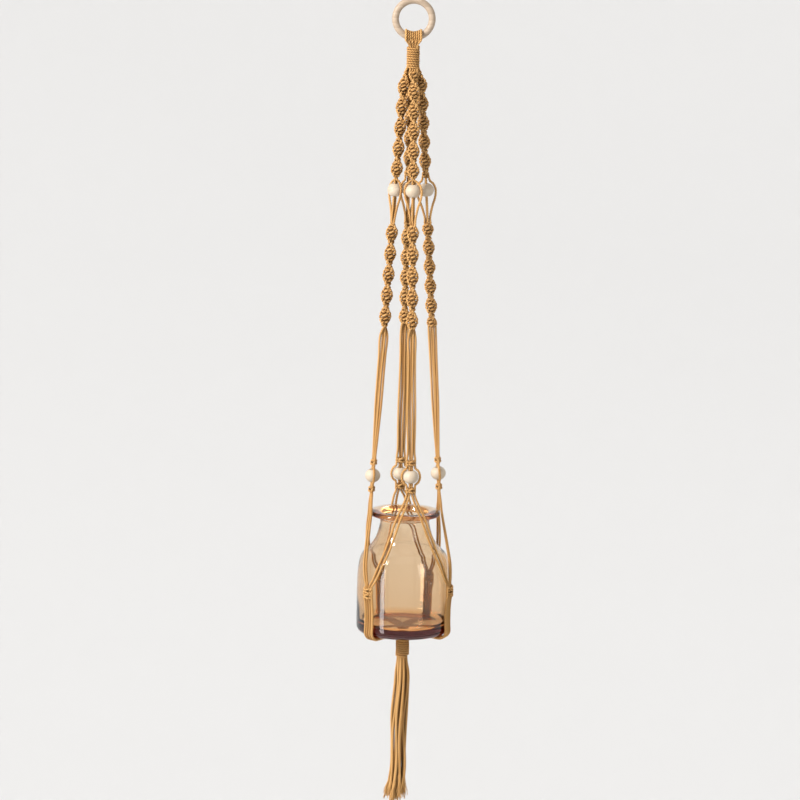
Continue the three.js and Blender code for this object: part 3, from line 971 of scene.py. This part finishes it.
def wrap_strand(piece, radius, top, bottom, turns):
    """A cord wound round a bundle, its ends tucked inside."""
    strand = Strand()
    strand.go(piece, [polar(radius - WRAP_TUCK, WRAP_START - 0.8, top - 0.006)])
    count = round(turns * WRAP_STEPS)
    for i in range(count + 1):
        share = i / count
        swell = WRAP_SWELL * math.sin(share * 41)
        z = top - CORD_RADIUS + share * (bottom - top + 2 * CORD_RADIUS)
        strand.go(piece, [polar(radius + swell, WRAP_START + share * turns * 2 * math.pi, z)])
    end = WRAP_START + turns * 2 * math.pi
    strand.go(piece, [polar(radius - WRAP_TUCK, end + 0.7, bottom + 0.006)])
    return strand


# Tassel
def tassel_rows():
    """Where the sixteen strands hang: ring radius at the neck, and angle."""
    rows = [(0.0008, 0.0)]
    rows += [(0.0040, 2 * math.pi * i / 5 + 0.3) for i in range(5)]
    rows += [(0.0072 + 0.0005 * (i % 3), 2 * math.pi * i / 10) for i in range(10)]
    return rows


def tassel_way(radius, angle):
    """A limp strand's way from inside the base wrap down to its cut end."""
    wrap_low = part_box("base_wrap")[0].z
    start_z = wrap_low + 0.0015
    end_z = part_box("tassel")[0].z + draw.uniform(*TASSEL_ENDS)
    flare = draw.uniform(1.0, 1.4)
    sway = draw.uniform(-1, 1, 4)
    points = []
    for share in np.linspace(0, 1, 18):
        z = start_z + share * (end_z - start_z)
        opening = min(1.0, share / TASSEL_OPEN_AT)
        opening = opening * opening * (3 - 2 * opening)
        out = radius * (TASSEL_NECK + (1 - TASSEL_NECK) * opening)
        out *= 1 + (flare - 1) * share**2.2
        way = angle + TASSEL_TWIST * sway[0] * math.sin(3.1 * share + sway[1]) * opening
        drift = TASSEL_DRIFT * min(1.0, 2 * share) * np.array(
            (math.sin(8.0 * share + 3 * sway[2]), math.cos(6.6 * share + 3 * sway[3]), 0)
        )
        lean = TASSEL_LEAN * share**1.5 + TASSEL_SWAY * math.sin(9 * share) * opening
        points.append(polar(out, way, z) + drift + np.array((lean, 0, 0)))
    return points


def fray(pieces, name, way):
    """The end of a strand, combed out by wear into loose yarns."""
    end = way[-1]
    ahead = way[-1] - way[-3]
    ahead /= np.linalg.norm(ahead)
    for _ in range(FRAY_YARNS):
        angle = draw.uniform(0, 2 * math.pi)
        start = FRAY_RADIUS * math.sqrt(draw.uniform(0, 1))
        open_out = draw.uniform(1.0, 4.2) * start
        length = draw.uniform(*FRAY_LENGTHS)
        side = np.array((math.cos(angle), math.sin(angle), 0))
        curl = draw.uniform(-FRAY_CURL, FRAY_CURL, 3)
        strand = Strand()
        for share in (-0.35, 0.0, 0.3, 0.6, 0.85, 1.0):
            out = start + open_out * max(share, 0) ** 1.4
            bend = curl * math.sin(3 * share)
            point = end + ahead * share * length + side * out + bend
            strand.go(name, [point], FRAY_YARN_RADIUS)
        pieces.lay(strand.points, strand.names, strand.radii, draw.uniform(0.3, 1.0), False)


def make_tassel(pieces, material):
    ways = []
    for index, (radius, angle) in enumerate(tassel_rows(), 1):
        name = f"tassel_strand_{index:02d}"
        points = tassel_way(radius, angle)
        radii = [TASSEL_RADIUS] * len(points)
        pieces.lay(points, [name] * len(points), radii, draw.uniform(0, 1))
        way, along, _ = smooth_way(points, RING_STEP)
        fray(pieces, f"tassel_fray_{index:02d}", way)
        ways.append((way, float(along[-1])))
    pieces.settle()
    for index, (way, length) in enumerate(ways, 1):
        strand = pieces.build(f"tassel_strand_{index:02d}", material)
        loose = pieces.build(f"tassel_fray_{index:02d}", material)
        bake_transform(strand)
        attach(loose, "tassel_end")
        if index == 1:
            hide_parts("tassel")


# Wood
def make_ring(material):
    low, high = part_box("wooden_ring")
    tube = (high.y - low.y) / 2
    mid = (high.x - low.x) / 2 - tube
    turned_section = arc((mid, 0), tube, 0, 345, 24)
    stand = Matrix.Translation(((low + high) / 2)) @ Matrix.Rotation(math.pi / 2, 4, "X")
    ring = turned("turned_ring", turned_section, 144, matrix=stand)
    ring.data.materials.append(material)
    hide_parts("wooden_ring")
    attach(ring, "ring")


def bead_profile(radius, hole):
    """A turned bead, a touch flatter than a ball, with eased edges at its hole."""
    half = radius * BEAD_FLATNESS
    rim = math.degrees(math.asin((hole + 0.0009) / radius))
    outside = [(r, z * half / radius) for r, z in arc((0, 0), radius, -90 + rim, 90 - rim, 27)]
    lip = outside[-1][1] + 0.00005
    easing = [(hole + 0.0004, lip - 0.00005), (hole + 0.0001, lip - 0.0005)]
    inner = [(hole, lip - 0.0012), (hole, 0.0012 - lip)]
    lower = [(r, -z) for r, z in reversed(easing)]
    return outside + easing + inner + lower


def make_beads(arms, material):
    for arm in arms:
        for place, body in (("upper", "upper_slider"), ("lower", "lower_spinner")):
            node = f"{arm.name}_{place}_bead"
            middle = Vector(box_middle(node).tolist())
            radius = (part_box(node)[1].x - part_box(node)[0].x) / 2
            lean = arm.up().to_track_quat("Z", "Y").to_matrix().to_4x4()
            grain = Matrix.Rotation(draw.uniform(0, 6.28), 4, "Z")
            profile = bead_profile(radius, BEAD_HOLE)
            stand = Matrix.Translation(middle) @ lean @ grain
            bead = turned(f"{node}_turned", profile, 48, matrix=stand)
            bead.data.materials.append(material)
            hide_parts(node)
            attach(bead, f"{arm.name}_{body}")


# Jar
def jar_profile():
    low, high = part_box("glass_jar")
    base, top = low.z, high.z
    body = high.y
    foot = [(0.0, base + 0.0016), (0.020, base + 0.0013), (0.036, base + 0.0006), (0.044, base)]
    foot += arc((body - HEEL_RADIUS, base + HEEL_RADIUS), HEEL_RADIUS, -90, 0, 10)[1:]
    shoulder = [
        (body, base + 0.035),
        (body - 0.0001, base + 0.060),
        (0.0540, base + 0.076),
        (0.0517, base + 0.0885),
        (0.0474, base + 0.0962),
        (0.0404, base + 0.1022),
        (0.0342, base + 0.1120),
        (0.0305, base + 0.1230),
        (0.0290, base + 0.1320),
        (0.0299, base + 0.1362),
    ]
    rim = arc((0.0385, top - 0.0033), 0.0029, -90, 90, 9)
    lip = [(0.0330, top - 0.0002), (0.0290, top - 0.0006), (0.0266, top - 0.0030)]
    throat = [(0.0259, top - 0.0090), (0.0262, base + 0.1300)]
    inside = []
    for radius, z in reversed(shoulder[1:-2]):
        thickness = JAR_WALL + JAR_FOOT_EXTRA * (top - z) / (top - base)
        inside.append((radius - thickness, z - 0.001))
    corner = 0.008  # radius of the inside corner round the floor
    centre = (body - JAR_WALL - JAR_FOOT_EXTRA - corner, base + 0.018)
    floor = arc(centre, corner, 0, -90, 6)
    floor += [(0.030, base + 0.0098), (0.0, base + 0.0104)]
    outside = rounded(foot[3:] + shoulder) + [(0.0330, top - 0.0072)]
    return foot[:3] + outside + rim + lip + rounded(throat + inside) + floor


def rounded(profile):
    """The same profile as one smooth line."""
    way, _, _ = smooth_way([(r, 0, z) for r, z in profile], 0.0022)
    return [(p[0], p[2]) for p in way]


def make_jar():
    jar = turned("blown_jar", jar_profile(), 128)
    jar.data.materials.append(glass_material())
    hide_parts("glass_jar")
    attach(jar, "jar")


# Everything
make_camera()
make_lights()
make_stage()
cord_look = cord_material()
pieces = Pieces()
make_tassel(pieces, cord_look)

arms = {name: Arm(name) for name in ARM_NAMES}
laid = {name: arm_strands(arm) for name, arm in arms.items()}
for corner, before, after in CORNERS:
    knot = box_middle(f"{corner}_joining_knot")
    corner_azimuth = math.atan2(knot[1], knot[0])
    # The arm before the corner sends its last two strands, the arm after it its first two.
    for place, (name, order) in enumerate(((before, 2), (before, 3), (after, 0), (after, 1))):
        corner_strands(laid[name][order], arms[name], corner, corner_azimuth, order, place)

for strands in laid.values():
    for strand in strands:
        pieces.lay(strand.points, strand.names, strand.radii, draw.uniform(0, 1))
for index in range(FOLD_CORDS):
    fold = fold_strand(index)
    pieces.lay(fold.points, fold.names, fold.radii, draw.uniform(0, 1))
for node, turns in WRAP_TURNS.items():
    low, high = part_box(node)
    wound = wrap_strand(node, high.x - CORD_RADIUS, high.z, low.z, turns)
    pieces.lay(wound.points, wound.names, wound.radii, WRAP_TINT)

pieces.settle()
for node in sorted(pieces.tubes):
    piece = pieces.build(node, cord_look)
    piece.name = f"{node}_cords"
    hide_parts(node)
    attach(piece, "hanger")

bead_wood = wood_material("bead_wood", (0.49, 0.415, 0.325), (0.36, 0.27, 0.18), (110, 110, 26))
ring_wood = wood_material("ring_wood", (0.42, 0.33, 0.245), (0.20, 0.135, 0.085), (34, 120, 120))
make_ring(ring_wood)
make_beads(arms.values(), bead_wood)
make_jar()
